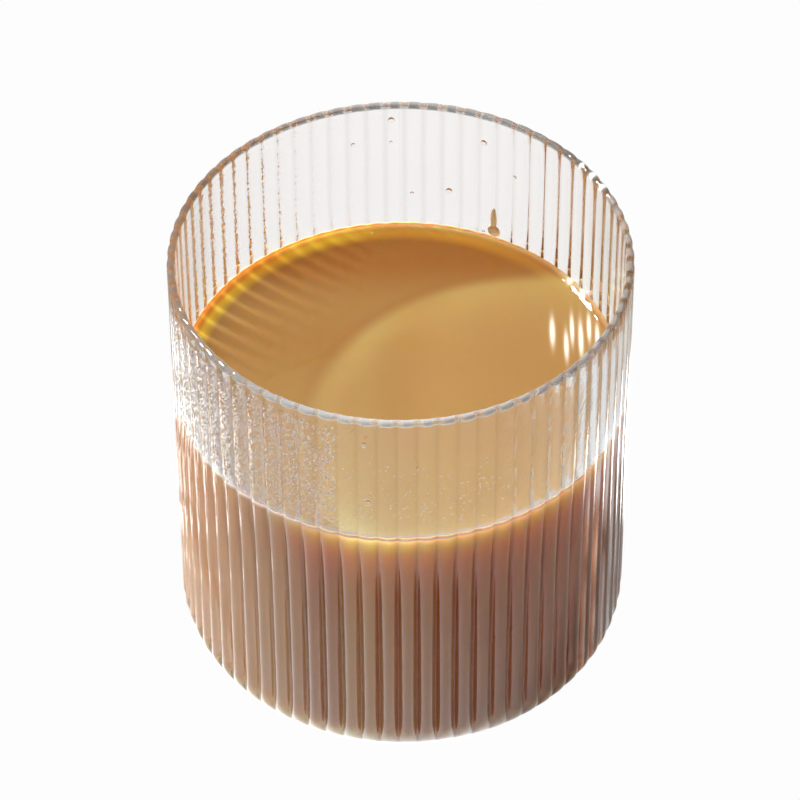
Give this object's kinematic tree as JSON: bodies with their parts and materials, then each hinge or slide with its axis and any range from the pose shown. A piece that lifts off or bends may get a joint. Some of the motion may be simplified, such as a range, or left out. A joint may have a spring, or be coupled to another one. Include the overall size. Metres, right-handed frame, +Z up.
{
  "type": "glass of milk tea",
  "caption": "Straight ribbed clear glass tumbler with a rounded foot and lip, filled about two thirds with opaque brown milk tea.",
  "frame": {"origin": "centre of the flat base of the tumbler, on the surface it stands on", "axes": "+Z up along the tumbler's axis, +Y away from the viewer and +X to the right, with one groove of the ribs at azimuth -91.15 degrees"},
  "size_m": [0.08, 0.08, 0.0885],
  "materials": {
    "clear_glass": "clear thin borosilicate glass, fire-polished lip, with fine mist and drops on the inner wall above the drink",
    "milk_tea": "opaque warm brown milk tea, wet and glossy, amber where it thins at its edge"
  },
  "bodies": {
    "root": {"tumbler": "clear_glass", "milk_tea": "milk_tea"}
  },
  "joints": []
}
